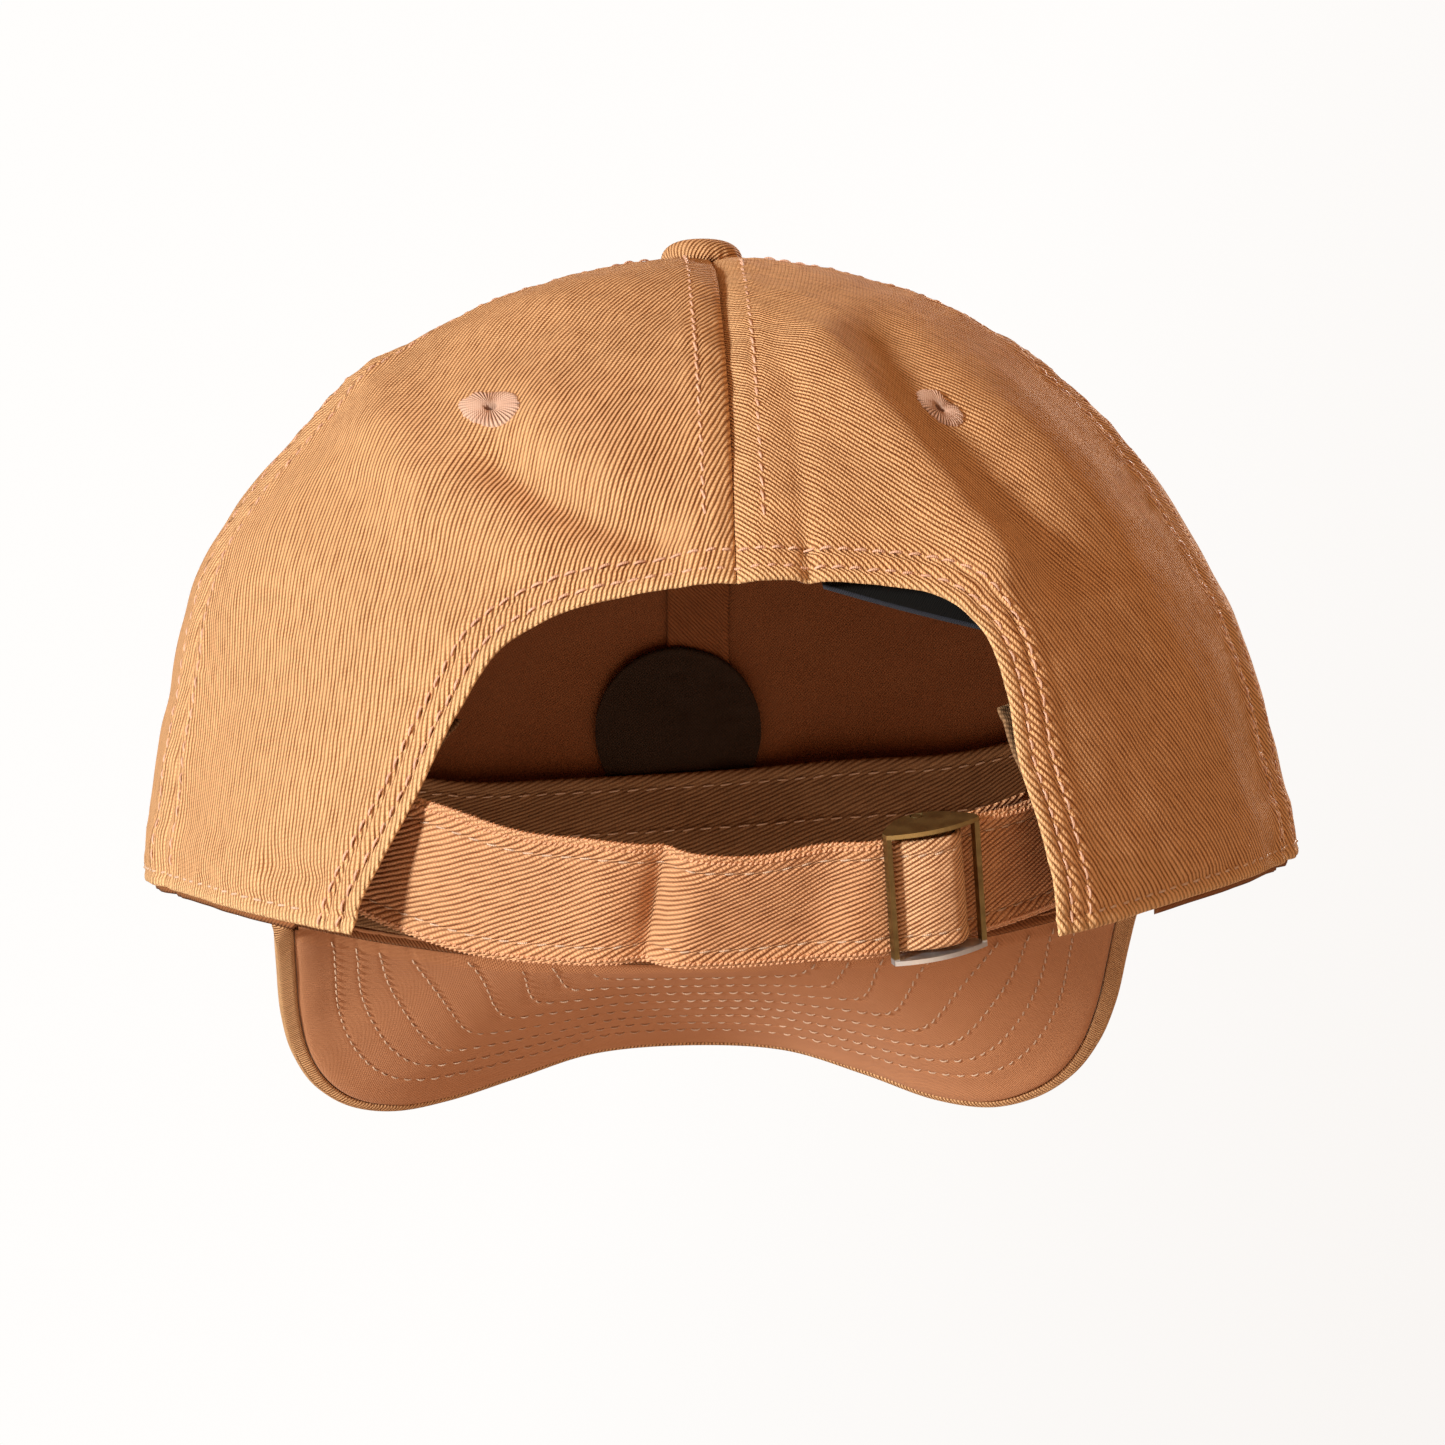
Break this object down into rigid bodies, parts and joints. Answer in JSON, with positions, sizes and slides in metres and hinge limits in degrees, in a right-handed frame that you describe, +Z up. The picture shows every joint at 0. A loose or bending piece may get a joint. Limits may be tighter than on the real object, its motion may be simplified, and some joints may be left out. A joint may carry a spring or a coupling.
{
  "type": "baseball cap",
  "caption": "Low-profile cloth baseball cap with a curved visor, a covered top button and a rear opening closed by a cloth strap in a metal slide buckle.",
  "frame": {"origin": "middle of the head opening, level with the rim's lowest points at the front and back of the crown", "axes": "+Z up through the button, +Y out through the rear opening, -Y out over the visor, +X to the wearer's left"},
  "size_m": [0.205, 0.2403, 0.1595],
  "materials": {
    "crown_twill": "heavy cotton twill, tan brown, diagonal ribs about 1 mm apart",
    "strap_twill": "the crown's twill folded double, with corded edges and two stitch rows",
    "sweatband_twill": "flat cotton twill with two pale stitch rows",
    "visor_lining": "fine cotton twill with eight rows of stitching",
    "inner_tape": "plain woven cotton tape",
    "eyelet_thread": "satin-stitched polyester thread, pinkish tan",
    "black_cloth": "black woven cloth",
    "visor_plastic": "flat moulded polyethylene sheet",
    "antique_brass": "antique brass plate, darkened in the corners",
    "button_steel": "pressed steel"
  },
  "bodies": {
    "cap": {"left_back_panel": "crown_twill", "left_side_panel": "crown_twill", "left_front_panel": "crown_twill", "right_front_panel": "crown_twill", "right_side_panel": "crown_twill", "right_back_panel": "crown_twill", "left_back_eyelet": "eyelet_thread", "left_side_eyelet": "eyelet_thread", "left_front_eyelet": "eyelet_thread", "right_front_eyelet": "eyelet_thread", "right_side_eyelet": "eyelet_thread", "right_back_eyelet": "eyelet_thread", "centre_back_seam_tape": "inner_tape", "left_back_seam_tape": "inner_tape", "left_front_seam_tape": "inner_tape", "centre_front_seam_tape": "inner_tape", "right_front_seam_tape": "inner_tape", "right_back_seam_tape": "inner_tape", "opening_facing": "inner_tape", "rim_tape": "inner_tape", "sweatband": "sweatband_twill", "front_backing_patch": "black_cloth", "blank_label": "black_cloth", "button_cover": "crown_twill", "button_core": "button_steel", "button_back_cap": "button_steel", "visor_board": "visor_plastic", "visor_top_cover": "crown_twill", "visor_bottom_cover": "visor_lining", "buckle_loop": "strap_twill"},
    "strap": {"strap": "strap_twill"},
    "buckle": {"buckle_frame": "antique_brass", "buckle_centre_bar": "antique_brass"}
  },
  "joints": [
    {"name": "strap_adjust", "type": "hinge", "parent": "cap", "child": "strap", "pos_m": [0, 0.00085, 0.04585], "axis": [0, 0.515, 0.8572], "range_deg": [-8, 12]},
    {"name": "buckle_tilt", "type": "hinge", "parent": "cap", "child": "buckle", "pos_m": [-0.03009, 0.07276, 0.01332], "axis": [0.0745, 0.3374, 0.9384], "range_deg": [-5, 5]}
  ]
}
